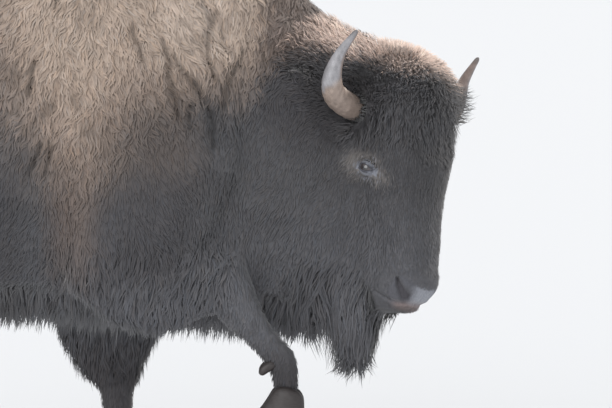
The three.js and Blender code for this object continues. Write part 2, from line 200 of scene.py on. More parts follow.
# ---- the kinds of coat ----
# Millimetres: how deep the coat is, how long and wide its tufts are, how far apart they
# are rooted, how far they swing from side to side and how far they may hang clear of the skin.
# stand is how steeply they rise, pull how much they gather into locks, rings how many steps a
# tuft bends in, speckle how much one tuft differs in tone from the next and how strongly painted shade
# darkens its root and painted light lifts its tip.
LENGTHS = ("depth", "length", "width", "spacing", "swing", "hang")
NUMBERS = LENGTHS + ("stand", "pull", "rings", "speckle")
COATS = {name: dict(zip(NUMBERS, numbers)) for name, *numbers in (
    ("crest", 13, 48, 4.6, 7.0, 4, 8, 0.26, 0.35, 3, 0.8),
    ("cape", 8, 36, 4.3, 7.25, 4.5, 0, 0.12, 0.42, 3, 0.75),
    ("mane", 4, 32, 3.6, 6.4, 1.2, 0, 0.05, 0.12, 2, 0.25),
    ("bonnet", 24, 32, 2.8, 4.6, 3, 26, 0.6, 0.15, 2, 1.6),
    ("cuff", 16, 64, 2.8, 5.0, 4, 56, 0.4, 0.3, 3, 0.7),
    ("brow", 14, 29, 2.8, 4.9, 2.2, 6, 0.4, 0.15, 2, 0.7),
    ("wisp", 14, 70, 1.7, 8, 6, 62, 0.75, 0.3, 3, 0.8),
    ("cheek", 5, 23, 2.8, 5.2, 1.2, 0, 0.07, 0.15, 2, 0.38),
    ("face", 5, 15, 2.1, 4.2, 0.8, 6, 0.3, 0.1, 2, 0.8),
    ("nose", 3, 6, 1.5, 3.4, 0, 0, 0.1, 0, 2, 0.6),
    ("beard", 24, 125, 3.6, 6.2, 6, 78, 0.2, 0.5, 3, 1.0),
    ("chaps", 13, 62, 4, 6.8, 3.5, 34, 0.14, 0.4, 2, 0.8),
    ("shank", 5, 16, 4.2, 8, 0.5, 0, 0.05, 0.1, 2, 0.8),
    ("flank", 6, 38, 6, 9.8, 1.5, 0, 0.06, 0.25, 2, 0.55),
    ("fringe", 22, 120, 3.4, 6.1, 5, 88, 0.14, 0.5, 3, 0.6),
    ("rump", 5, 28, 5.0, 12, 1, 0, 0.05, 0.15, 2, 0.5),
    ("dock", 6, 22, 4.5, 6.5, 1, 0, 0.05, 0.1, 2, 0.8),
    ("switch", 18, 110, 4, 5.6, 4, 26, 0.1, 0.4, 2, 1.0),
    ("ear", 8, 34, 3.2, 4.6, 2, 18, 0.3, 0.2, 2, 0.8),
)}
MILLIMETRE = 0.001

NODE_COATS = {
    "hump": "cape", "shoulders": "mane", "neck": "mane", "barrel": "flank",
    "hindquarters": "rump", "head": "cheek", "forelock": "bonnet", "muzzle": "nose",
    "lower_jaw": "cheek", "beard": "beard", "tail": "dock",
}
for pair, coat in (
    ("ear_{}", "ear"), ("foreleg_{}_upper", "chaps"), ("foreleg_{}_lower", "shank"),
    ("hind_{}_upper", "rump"), ("hind_{}_lower", "shank"),
):
    NODE_COATS.update({pair.format(side): coat for side in SIDES})
FLESH = list(NODE_COATS)
KINDS = list(COATS)

CAPE_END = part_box("barrel")[1].x  # where the cape passes into the flank
RUMP_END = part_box("hindquarters")[0].x
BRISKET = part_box("shoulders")[0].z
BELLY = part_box("barrel")[0].z
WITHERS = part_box("hump")[1].z
TAIL_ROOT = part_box("tail")[1].z
HORN_ROOT = (-0.042, 0.156)  # out and up in the head, the middle of the hair round a horn


def is_kind(kind, *names):
    return np.isin(kind, [KINDS.index(name) for name in names])


def kind_of(points, node_index):
    """The coat that grows at each point, from the node it is nearest and where it is there."""
    kind = np.array([KINDS.index(NODE_COATS[name]) for name in FLESH])[node_index]
    node = np.array(FLESH)[node_index]
    x, _, z = points.T
    out, side, up = in_head(points).T

    def grow(name, on_nodes, *where):
        kind[np.isin(node, on_nodes) & np.logical_and.reduce(where)] = KINDS.index(name)

    woolly = z > cape_edge(x) - 0.1
    grow("cape", ["hump", "shoulders", "neck"], woolly)
    grow("cape", ["barrel"], x > CAPE_END - 0.26, woolly)
    grow("crest", ["hump"], z > WITHERS - 0.14)
    grow("fringe", ["barrel"], z < BELLY + 0.08)
    grow("fringe", ["shoulders"], z < BRISKET + 0.11)
    grow("fringe", ["neck"], z < BRISKET + 0.08)
    grow("fringe", ["lower_jaw", "head", "neck"], up < -0.26, out < -0.05)
    grow("face", ["head"], out > 0.02, up < 0.03)
    grow("brow", ["head"], out > -0.03, up > 0.03)
    round_horn = np.hypot((out + 0.015) / 1.2, up - 0.16) < 0.08
    grow("cuff", FLESH, round_horn, np.abs(side) > 0.115, np.abs(side) < 0.2)
    by_left_horn = (np.abs(up - 0.19) < 0.05) & (np.abs(out - 0.06) < 0.06) & (side > 0.06)
    grow("wisp", ["head", "forelock"], by_left_horn)
    grow("face", ["head"], np.abs(side) > 0.07, out > -0.06, np.abs(up) < 0.06)
    grow("nose", ["muzzle"], True)
    grow("face", ["muzzle"], up > -0.262)
    grow("nose", ["lower_jaw"], out > -0.03, up < -0.29)
    grow("switch", ["tail"], z < TAIL_ROOT - 0.31)
    return kind


def cape_edge(x):
    """Height at which the pale wool of the cape gives way to the dark hair below."""
    along = [-0.45, 0.05, 0.12, 0.19, 0.27, 0.33, 0.41, 0.48, 0.56, 0.63, 0.71, 0.79, 0.85, 0.95]
    edge = [1.14, 1.13, 1.08, 1.01, 0.945, 1.035, 1.12, 1.15, 1.165, 1.15, 1.2, 1.3, 1.36, 1.42]
    return np.interp(x, along, edge)


# The deep folds in the wool before the shoulder, where it swings with the foreleg: x and height
# of each along its run.
FOLDS = (
    ((0.391, 1.32), (0.423, 1.24)),
    ((0.473, 1.29), (0.489, 1.228), (0.487, 1.213), (0.513, 1.1)),
    ((0.498, 1.25), (0.55, 1.179), (0.581, 1.136), (0.594, 1.089), (0.598, 1.02)),
    ((0.542, 1.13), (0.543, 1.07)),
    ((0.15, 1.232), (0.132, 1.148)),
    ((0.165, 1.025), (0.138, 0.95)),
    ((0.189, 1.02), (0.177, 0.955)),
    ((0.601, 1.354), (0.581, 1.27), (0.606, 1.187)),
    ((0.673, 1.255), (0.633, 1.167), (0.623, 1.115)),
)
FOLD_WIDTH = 0.009
FOLD_SHADE = 0.58  # painted shade: how much darker the coat is painted down in a fold
LEFT_FOLDS = 0.55  # the left foreleg stands still, and pulls the coat less
FINE_FOLDS = 0.6


def beside(spots, start, end):
    """For each spot, how far along a straight run it is, and how it lies off it."""
    run = end - start
    along = np.clip((spots - start) @ run / (run @ run), 0, 1)
    return along, spots - start - along[:, None] * run


def folds(points):
    """1 along the furrows of the wool: a few deep ones at the shoulder, finer ones all over."""
    x, y, z = points.T
    spots = columns(x + 0.005 * drift(points, 0.05, 17) + 0.02 * (y > 0), z)
    deep = np.zeros(len(x))
    for line in FOLDS:
        for start, end in zip(np.array(line), np.array(line)[1:]):
            away = size_of(beside(spots, start, end)[1])
            deep = np.maximum(deep, bell(away, 0, FOLD_WIDTH))
    deep *= np.where(y > 0, LEFT_FOLDS, 1)
    flow = points * [1, 1, 0.3]
    flow[:, 0] += comb_slant(x) * (z - 1.3)
    flow += 0.01 * columns(*(drift(points, 0.09, seed) for seed in (11, 12, 13)))
    fine = np.clip(1 - np.abs(drift(flow, 0.085, 14)) * 4, 0, 1)
    fine = fine * ramp(drift(points, 0.25, 15), -0.5, 0.4)
    edge = cape_edge(x)
    fine = FINE_FOLDS * fine * ramp(z, edge - 0.12, edge + 0.05)
    return np.maximum(deep, fine) * ramp(z, 0.88, 0.98)


# ---- colours ----
WOOL = tone(173, 155, 141)  # cape, bleached by the sun
WOOL_DEEP = tone(149, 132, 120)
# painted sunlight on the top of the cape, high on the front of the hump
SUNLIT_WOOL = tone(190, 172, 158)
UMBER = tone(106, 94, 88)  # flanks; also painted light down the back of the shoulder, where its edge catches the sun, and painted shade on the neck crest
SOOT = tone(80, 79, 81)  # head and neck
FROST_AND_BOUNCE_LIGHT = tone(98, 98, 102)  # the same hair low on chest and throat, paler with frost and with painted light bounced up from below
BLACK_HAIR = tone(68, 66, 68)  # ears, legs, and the hair behind the horns; also painted shade on the barrel behind the shoulder and round the ears
RUMP = tone(92, 82, 76)
PALE_BACKLIT_CROWN = tone(236, 209, 194)  # the bleached tips on top of the head, made brighter with painted backlight from the sun behind
LID = tone(124, 126, 134)
LID_RIM = tone(62, 62, 68)
BY_THE_EYE = tone(126, 121, 118)
NOSE_PAD = tone(138, 140, 147)
MUZZLE_SKIN = tone(84, 84, 89)
LIP = tone(122, 108, 105)
# painted shade down inside the nostrils
NOSTRIL_SHADE = tone(66, 64, 68)


def markings(points):
    """The colour of skin and coat at each point, with some painted light and shade in it, but for the
    shade painted into the folds.
    """
    x, y, z = points.T
    out, side, up = in_head(points).T
    wander = drift(points, 0.2, 5) * 0.04

    def over(colour, *layers):
        """Lay tints on, each where all of its shares are high."""
        for tint, *shares in layers:
            colour = mix(colour, tint, np.prod(np.broadcast_arrays(*shares), axis=0)[:, None])
        return colour

    def round_about(value, centre, far, near):
        return ramp(np.abs(value - centre), far, near)

    soot = np.tile(SOOT, (len(x), 1))
    edge = cape_edge(x)
    fading = mix(0.24, 0.12, ramp(x, 0.3, 0.48))  # the pale wool ends more sharply toward the head
    wool = over(
        np.tile(WOOL_DEEP, (len(x), 1)),
        (WOOL, ramp(z + wander, edge, edge + 1.4 * fading)),
        # painted sunlight high on the front of the hump
        (SUNLIT_WOOL, round_about(x, 0.56, 0.14, 0.05), ramp(z, 1.2, 1.32), 0.8),
        (UMBER, round_about(x, 0.075, 0.08, 0.01), ramp(z, 1.15, 1.32), 0.3),
    )
    front = over(
        soot,
        # frost and painted light bounced up from below, low on the chest
        (FROST_AND_BOUNCE_LIGHT, ramp(z, 0.95, 0.62), 0.7),
        # painted highlight down the back of the shoulder, where its edge catches the sun
        (UMBER, round_about(x, 0.245, 0.1, 0.02), ramp(z, 0.62, 0.8), 0.7),
        (RUMP, round_about(x, 0.42, 0.2, 0.08), ramp(z, 0.86, 1.02), 0.6),
        (BLACK_HAIR, round_about(x, 0.42, 0.17, 0.08), round_about(z, 0.83, 0.18, 0.08), 0.6),
        # painted shade on the barrel behind the bulge of the shoulder
        (BLACK_HAIR, ramp(x, 0.17, 0.08), ramp(z, 1.04, 0.92), 0.6),
        (wool, ramp(z + wander, edge + 0.03 - fading, edge + fading)),
        # painted shade on the neck crest before the crown, which the sun lights from behind
        (UMBER, ramp(x, 0.68, 0.76), ramp(z, 1.17, 1.28), 0.9),
    )
    rear = over(soot, (RUMP, ramp(z, 0.55, 0.95)), (UMBER, ramp(z, 1.05, 1.45), ramp(x, -0.95, -0.4)))
    face = over(
        soot,
        # frost and painted light bounced up from below, low on the face
        (FROST_AND_BOUNCE_LIGHT, ramp(up, 0.0, -0.25), 0.7),
        (BLACK_HAIR, ramp(up, 0.1, 0.18), ramp(up, 0.28, 0.2), ramp(out, 0.1, 0.02), 0.6),
    )
    tail_end = ramp(np.hypot(x - RUMP_END, y), 0.09, 0.05)
    headward = ramp(out, -0.2, -0.1) * ramp(up, -0.55, -0.42) * ramp(np.abs(side), 0.34, 0.28)
    # the crown's bleached tips, brightened with painted backlight
    crown = ramp(up + 0.12 * out + 0.34 * np.maximum(side, 0) + 0.4 * wander, 0.258, 0.312)
    colour = over(
        rear,
        (front, ramp(x + wander, CAPE_END - 0.46, CAPE_END - 0.08)),
        (BLACK_HAIR, ramp(z, 0.58, 0.42)),
        (BLACK_HAIR, tail_end, ramp(z, TAIL_ROOT - 0.26, TAIL_ROOT - 0.36)),
        (face, headward, ramp(x, 0.74, 0.82)),
        (PALE_BACKLIT_CROWN, crown, ramp(out, -0.2, -0.14), ramp(x, 0.7, 0.8), 0.9),
    )
    for sign in SIDES.values():
        past = past_opening(*from_eye(out, up)) + 0.002 * drift(points, 0.012, 42)
        above = np.hypot((out + 0.02) / 1.1, up - 0.018)
        below = np.hypot(out - 0.03, up + 0.02)
        this_side = (side * sign > 0.08).astype(float)
        above_ear = (up - 0.18) * np.where(up > 0.18, 1.7, 1)
        ear = np.linalg.norm([out + 0.124, (side - sign * 0.22) / 1.2, above_ear], axis=0)
        colour = over(
            colour,
            (BY_THE_EYE, ramp(above, 0.06, 0.022), this_side, 0.8),
            (BY_THE_EYE, ramp(below, 0.034, 0.012), this_side, 0.6),
            (LID, ramp(past, 0.016, 0.009), this_side),
            (LID_RIM, ramp(past, 0.0065, 0.0025), this_side, 0.85),
            # dark hair of the ear, with painted shade round it
            (BLACK_HAIR, ramp(ear, 0.19, 0.07), 0.85),
        )
    bare = bare_nose(out, side, up) * (out > 0)
    return over(
        colour,
        (MUZZLE_SKIN, bare),
        (NOSE_PAD, bare, ramp(round_nose(out, side), 0.056, 0.022)),
        (LIP, ramp(up, -0.326, -0.345), ramp(out, 0.02, 0.05), 0.8),
        # painted shade inside the nostrils
        (NOSTRIL_SHADE, in_nostril(out, side, up), 0.9),
    )


# ---- skin ----
VOXEL = 0.012  # how finely the flesh is joined
BRIDGE = 0.0005  # each part swells this much, to close the cuts between them
WELD = 2e-5  # corners nearer than this are one


def flesh_source():
    """All the nodes of flesh in one mesh, a little swollen so that they run together."""
    shape = bmesh.new()
    shape.from_mesh(nodes["muzzle"].data)
    hull = bmesh.ops.convex_hull(shape, input=shape.verts)  # without the plain nostrils of the solids
    inner = [item for item in hull["geom_interior"] if isinstance(item, bmesh.types.BMVert)]
    bmesh.ops.delete(shape, geom=inner, context="VERTS")
    kept = set(hull["geom"])
    spare = [face for face in shape.faces if face not in kept]
    bmesh.ops.delete(shape, geom=spare, context="FACES_ONLY")
    for name in FLESH + ["eye_right", "eye_left"]:
        if name != "muzzle":
            shape.from_mesh(nodes[name].data)
    bmesh.ops.remove_doubles(shape, verts=shape.verts, dist=WELD)
    shape.normal_update()
    for corner in shape.verts:
        corner.co += corner.normal * BRIDGE
    return as_mesh(shape, "flesh")


def remeshed(mesh):
    """One closed surface of even quads through all that overlaps."""
    piece = new_object("flesh", mesh)
    remesh = piece.modifiers.new("remesh", "REMESH")
    remesh.mode = "VOXEL"
    remesh.voxel_size = VOXEL
    result = as_modified(piece)
    bpy.data.objects.remove(piece)
    return result


def refine(mesh, centre, radius, stretch=(1, 1, 1)):
    """Halve the faces within a radius, measured in the head's own directions."""
    shape = bmesh.new()
    shape.from_mesh(mesh)
    points = in_head(np.array([corner.co for corner in shape.verts]))
    near = size_of((points - centre) / stretch) < radius
    edges = [edge for edge in shape.edges if near[edge.verts[0].index] and near[edge.verts[1].index]]
    bmesh.ops.subdivide_edges(shape, edges=edges, cuts=1, use_grid_fill=True, smooth=0)
    crowded = [face for face in shape.faces if len(face.verts) > 4]
    bmesh.ops.triangulate(shape, faces=crowded)
    shape.to_mesh(mesh)
    shape.free()


class Surface:
    """Which vertices neighbour which, for smoothing positions and values over a mesh."""

    def __init__(self, mesh):
        one, other = fetch(mesh.edges, "vertices", np.int64, 2).T
        self.start = np.concatenate([one, other])
        self.end = np.concatenate([other, one])
        self.count = np.bincount(self.start, minlength=len(mesh.vertices))[:, None]

    def average(self, values):
        total = columns(*(
            np.bincount(self.start, column[self.end], len(self.count)) for column in values.T
        ))
        return total / np.maximum(self.count, 1)

    def smooth(self, values, rounds, share=0.5):
        for _ in range(rounds):
            values = mix(values, self.average(values), share)
        return values


def nearest_node(points):
    """For each point, which node of flesh it lies on."""
    corners, faces, owner = [], [], []
    for index, name in enumerate(FLESH):
        mesh = nodes[name].data
        first = len(corners)
        corners += coordinates(mesh).tolist()
        faces += [[first + corner for corner in polygon.vertices] for polygon in mesh.polygons]
        owner += [index] * len(mesh.polygons)
    tree = BVHTree.FromPolygons(corners, faces)
    return np.array([owner[tree.find_nearest(point)[2]] for point in points.tolist()])


def hair_values(shares, name):
    """One number of the coats, blended by each vertex's share of every kind."""
    scale = MILLIMETRE if name in LENGTHS else 1
    return shares @ (np.array([COATS[kind][name] for kind in KINDS], float) * scale)


def swell(points, facing, centre, radius, height):
    """Raise a soft mound, or sink a hollow where height is negative."""
    away = size_of((points - centre) / radius)
    return points + facing * (height * ramp(away, 1, 0))[:, None]


EYE_SLANT = math.radians(-20)


def from_eye(out, up):
    """Places near an eye, along and across its slanting opening: the front corner is the lower."""
    forward = out - EYE_FORWARD
    along = forward * math.cos(EYE_SLANT) + up * math.sin(EYE_SLANT)
    return along, up * math.cos(EYE_SLANT) - forward * math.sin(EYE_SLANT)


def past_opening(length, height):
    """How far outside the almond between the lids each place is."""
    widest = np.where(height > 0, 0.0088, 0.0078)
    gap = widest * np.clip(1 - (length / EYE_HALF) ** 2, 0, 1) ** 0.8
    past, beyond = np.abs(height) - gap, np.abs(length) - EYE_HALF
    return np.where(beyond > 0, np.maximum(past, beyond), past)


def lids(points):
    """Close the skin round each eyeball, with an almond opening between two heavy lids."""
    local = in_head(points)
    for sign in SIDES.values():
        length, height = from_eye(local[:, 0], local[:, 2])
        away = np.hypot(length, height)
        past = past_opening(length, height)
        ball = np.sqrt(np.clip(EYE_RADIUS ** 2 - away ** 2, 0, None))
        rim = 0.0028 * bell(past, 0.003, 0.003)
        fold = 0.0036 * bell(past, 0.009, 0.0022) * (height > -0.004)
        crease = 0.0018 * bell(past, 0.0105, 0.002) * (height <= -0.004)
        wrinkles = 0.0006 * drift(local * [1, 0, 3], 0.006, 41)
        lid = ball + 0.0012 + rim - fold - crease + wrinkles
        target = mix(ball - 0.006, lid, ramp(past, -0.0016, 0.0004))
        own = local[:, 1] * sign - eye_out
        hold = ramp(np.hypot(length * 0.85, height), 0.036, 0.023) * (own > -0.02)
        local[:, 1] += sign * hold * (target - own)
    return from_head(local)


NOSE_ROUND = 0.083  # radius of the muzzle, seen from below
NOSE_BACK = 0.015  # the middle of that curve, out of the face
# The comma of a nostril from its round inner end to its tail: the way round the muzzle from
# the middle of the nose, the height, and half its width there.
COMMA = (
    (0.049, -0.318, 0.0105), (0.06, -0.315, 0.016), (0.069, -0.306, 0.0135),
    (0.077, -0.292, 0.009), (0.083, -0.276, 0.004),
)


def round_nose(out, side):
    """How far round the muzzle each place is from the middle of the nose."""
    return NOSE_ROUND * np.arctan2(np.abs(side), out - NOSE_BACK)


def from_comma(out, side, up):
    """How far each place is from the middle line of a nostril, 1 at its rim."""
    spots = columns(round_nose(out, side), up)
    away = np.full(len(spots), 9.0)
    for start, end in zip(np.array(COMMA), np.array(COMMA)[1:]):
        along, offset = beside(spots, start[:2], end[:2])
        half = mix(start[2], end[2], along)
        wider = np.where(offset @ [0.8, -0.6] > 0, 0.72, 1.15)  # it fades out into the wing
        away = np.minimum(away, wider * size_of(offset) / half)
    return away


def nostrils(points):
    """Comma-shaped nostrils with a full wing, and a groove down the middle of the lip."""
    local = in_head(points)
    out, side, up = local.T
    away = from_comma(out, side, up)
    turn = round_nose(out, side)
    front = ramp(out, 0.0, 0.02)
    hole = ramp(away, 1.2, 0.3)
    rim = bell(away, 1.5, 0.3)
    wing = np.exp(-((turn - 0.088) ** 2 + (up + 0.304) ** 2) / 0.015 ** 2)
    rise = (0.0012 * rim + 0.003 * wing - 0.015 * hole) * front
    grown = (1 + rise / np.maximum(np.hypot(out - NOSE_BACK, side), 0.03))[:, None]
    local[:, :2] = (local[:, :2] - [NOSE_BACK, 0]) * grown + [NOSE_BACK, 0]
    groove = bell(side, 0, 0.004) * ramp(up, -0.285, -0.31)
    local[:, 0] -= 0.003 * groove * ramp(local[:, 0], 0.03, 0.06)
    return from_head(local)


def in_nostril(out, side, up):
    """How far inside a nostril each place is, 0 to 1."""
    return ramp(from_comma(out, side, up), 1.1, 0.3) * ramp(out, 0.0, 0.02)


def bare_nose(out, side, up):
    """The hairless skin round the nostrils and between them, 0 to 1."""
    turn = round_nose(out, side)
    turns = [0, 0.03, 0.05, 0.072, 0.09, 0.106]
    top = np.interp(turn, turns, [-0.3, -0.298, -0.288, -0.27, -0.276, -0.302])
    return ramp(up, top + 0.004, top - 0.004) * ramp(up, -0.348, -0.34) * ramp(turn, 0.112, 0.104)


def mouth(points):
    """The line between the lips, running back and up from the front of the muzzle."""
    local = in_head(points)
    line = -0.338 + 0.55 * np.clip(0.05 - local[:, 0], 0, 0.06)
    cut = bell(local[:, 2], line, 0.0045) * ramp(local[:, 0], -0.03, 0.0)
    inward = unit([-0.02, 0, -0.3] - local)
    return from_head(local + inward * (0.006 * cut)[:, None])


def modelled(points, facing):
    """What shows under the hair: the forms of the face, and hips and thighs where it is short."""
    for sign in SIDES.values():
        for out, side, up, radius, height in (
            (0.05, 0.1, 0.055, 0.06, 0.008),  # brow
            (0.045, 0.11, -0.06, 0.045, -0.007),  # before the eye
            (-0.09, 0.12, -0.1, 0.09, 0.01),  # jaw muscle
            (0.03, 0.09, -0.19, 0.06, -0.006),  # hollow of the cheek
        ):
            points = swell(points, facing, from_head([out, sign * side, up]), radius, height)
    points = swell(points, facing, from_head([0.045, 0, 0.32]), 0.12, -0.018)  # front of the crown
    points = swell(points, facing, from_head([-0.085, 0, 0.3]), 0.09, 0.012)  # and behind it
    for sign in SIDES.values():
        for from_rear, y, z, radius, height in (
            (0.42, 0.24, 1.26, 0.12, 0.012),  # hip bone
            (0.62, 0.3, 1.16, 0.16, -0.02),  # flank
            (0.12, 0.2, 1.2, 0.12, 0.008),  # pin bone
            (0.3, 0.26, 0.98, 0.17, 0.014),  # thigh
        ):
            points = swell(points, facing, [RUMP_END + from_rear, sign * y, z], radius, height)
    return points


RUN_ON = 14  # rounds of smoothing by which one kind of coat runs on into the next
SINKS = 5  # steps in which the skin sinks below the solids
CREASE_DEPTH = 0.008


def build_skin():
    mesh = remeshed(flesh_source())
    refine(mesh, [0.04, 0, -0.12], 0.26, (0.75, 0.8, 1))  # face
    refine(mesh, [0.05, 0, -0.31], 0.1)  # muzzle
    refine(mesh, [0.085, 0, -0.3], 0.034, (1, 2.4, 1))  # nostrils
    for _ in range(2):
        for sign in SIDES.values():
            refine(mesh, [EYE_FORWARD, sign * eye_out, 0], 0.042)
    surface = Surface(mesh)
    points = coordinates(mesh)
    node = nearest_node(points)
    shares = surface.smooth(np.eye(len(KINDS))[kind_of(points, node)], RUN_ON)
    depth = hair_values(shares, "depth")[:, None]
    points = surface.smooth(points, 3)
    buttocks = ramp(points[:, 0], RUMP_END + 0.3, RUMP_END + 0.2)
    buttocks = buttocks * (node == FLESH.index("hindquarters"))
    points = mix(points, surface.smooth(points, 50), surface.smooth(buttocks[:, None], 4))
    out, _, up = in_head(points).T
    nose = (ramp(up, -0.235, -0.275) * ramp(out, -0.03, 0.03))[:, None]
    points = mix(points, surface.smooth(points, 30), nose)
    points += nose * 0.004 * unit(points - from_head([0.02, 0, -0.29]))
    for _ in range(SINKS):
        place(mesh, points)
        facing = surface.smooth(normals(mesh), 3)
        points = surface.smooth(points - unit(facing) * depth / SINKS, 1)
    place(mesh, points)
    facing = normals(mesh)
    points = modelled(points, facing)
    rise = curled(shares) * tousle(points) - CREASE_DEPTH * creased(shares, points)
    points = lids(nostrils(mouth(points + facing * rise[:, None])))
    place(mesh, points)
    mesh.shade_smooth()
    # the markings, with painted shade darkening the coat down in the folds
    paint(mesh, markings(points) * (1 - FOLD_SHADE * creased(shares, points))[:, None])
    return mesh, shares


def share_of(shares, name):
    return shares[:, KINDS.index(name)]


def curled(shares):
    """How much of the coat at each place is the curled wool of cape and crest."""
    return share_of(shares, "cape") + 0.5 * share_of(shares, "crest")


def creased(shares, points):
    """How deep the coat is folded at each place: the folds of the wool run on into the mane."""
    return (curled(shares) + 0.9 * share_of(shares, "mane")) * folds(points)


def tousle(points):
    """Soft billows over the wool."""
    return 0.007 * drift(points * [1, 1, 0.5], 0.085, 16) - 0.003


def unwrap(mesh):
    """Lay the skin out flat, for the map that skin and coat share."""
    piece = new_object("unwrapped", mesh)
    bpy.context.view_layer.objects.active = piece
    piece.select_set(True)
    mesh.uv_layers.new(name="OFBake")
    bpy.ops.object.mode_set(mode="EDIT")
    bpy.ops.mesh.select_all(action="SELECT")
    bpy.ops.uv.smart_project(angle_limit=math.radians(66), island_margin=0.002)
    bpy.ops.object.mode_set(mode="OBJECT")
    bpy.data.objects.remove(piece)


# ---- coat ----
def comb_slant(x):
    """How the wool leans forward as it falls, along the body: it parts over the shoulder."""
    along = [-1.3, -0.3, 0.0, 0.12, 0.29, 0.42, 0.54, 0.62, 0.74, 0.9]
    lean = [-1.3, -1.0, -0.6, -0.4, 0.0, 0.45, 0.4, 0.0, -0.4, -0.2]
    return np.interp(x, along, lean)


def lie_of(points, kind):
    """The way the hair points, before it is laid along the skin."""
    x, y, z = points.T
    out, side, up = in_head(points).T
    left = np.sign(y)
    own_side = np.sign(side)
    down = columns(comb_slant(x), 0.12 * left, -1)
    crest = ramp(z, WITHERS - 0.2, WITHERS)[:, None]
    down = mix(down, columns(-0.9, 0.6 * left, -0.4), crest * 0.5)
    hangs = is_kind(kind, "shank", "chaps", "fringe", "dock", "switch", "beard")
    lie = np.where(hangs[:, None], [-0.12, 0, -1], down)
    spray = columns(out + 0.03, side * 1.6, up - 0.2 - 1.2 * np.maximum(out, 0))
    face = columns(0.1 - 0.5 * (out < -0.02), 0.25 * own_side, -1)
    in_face = mix(face, unit(spray), ramp(up, 0.1, 0.2)[:, None]) @ head_axes
    from_horn = [out - HORN_ROOT[0], up - HORN_ROOT[1]]
    cuff = ramp(np.hypot(*from_horn), 0.085, 0.05) * (np.abs(side) > 0.09)
    outward = columns(from_horn[0], 0.07 * own_side, 0.5 * from_horn[1])
    in_face = mix(in_face, unit(outward) @ head_axes, cuff[:, None])
    stray = unit([0.9, 0.8, 0.2]) @ head_axes
    in_face = np.where(is_kind(kind, "wisp")[:, None], stray, in_face)
    headed = is_kind(kind, "face", "nose", "cheek", "brow", "bonnet", "cuff", "wisp")
    lie = np.where(headed[:, None], in_face, lie)
    for sign in SIDES.values():
        lie[is_kind(kind, "ear") & (own_side == sign)] = from_head([-0.3, sign, -0.15]) - head_middle
    return unit(lie)


def roots(mesh, shares, rng):
    """Where tufts stand on the skin: the place, the way out, the map place and the coat there."""
    corners = fetch(mesh.loops, "vertex_index", np.int64)
    starts = fetch(mesh.polygons, "loop_start", np.int64)
    totals = fetch(mesh.polygons, "loop_total", np.int64)
    areas = fetch(mesh.polygons, "area", float)
    chart = fetch(mesh.uv_layers["OFBake"].data, "uv", np.float32, 2)
    spacing = hair_values(shares, "spacing") * SPARSER
    loops = starts[:, None] + np.minimum(np.arange(4), totals[:, None] - 1)
    face_corners = corners[loops]
    wanted = areas / spacing[face_corners].mean(1) ** 2
    steps = np.concatenate([[0], np.cumsum(wanted)])
    ticks = np.arange(int(steps[-1])) + rng.uniform(0, 1, int(steps[-1]))
    face = np.clip(np.searchsorted(steps, ticks) - 1, 0, len(areas) - 1)
    u, v = rng.uniform(0, 1, (2, len(face)))
    triangle = totals[face] == 3
    over = triangle & (u + v > 1)
    u, v = np.where(over, 1 - u, u), np.where(over, 1 - v, v)
    weights = columns((1 - u) * (1 - v), u * (1 - v), u * v, (1 - u) * v)
    weights[triangle] = columns(1 - u - v, u, v, 0)[triangle]

    def between(values, at):
        return (values[at] * weights[:, :, None]).sum(1)

    on_face = face_corners[face]
    return {
        "place": between(coordinates(mesh), on_face),
        "facing": unit(between(normals(mesh), on_face)),
        "chart": between(chart, loops[face]),
        "shares": between(shares, on_face),
    }


def locks(place, rng, size):
    """Gather the roots into locks: for each, the middle of its lock and the lock's number."""
    count = max(1, int(len(place) / size))
    chosen = rng.choice(len(place), count, replace=False)
    tree = KDTree(count)
    for index, root in enumerate(chosen):
        tree.insert(place[root], index)
    tree.balance()
    lock = np.array([tree.find(point)[1] for point in place.tolist()])
    return place[chosen][lock], lock, count


LOCK = 7  # tufts that gather to one another
CRIMP = 0.042  # the length of one wave in a lock
STRAYS, STRAY_REACH, MOST = 0.1, 1.4, 1.2  # how many, how much longer, and the most of any tuft


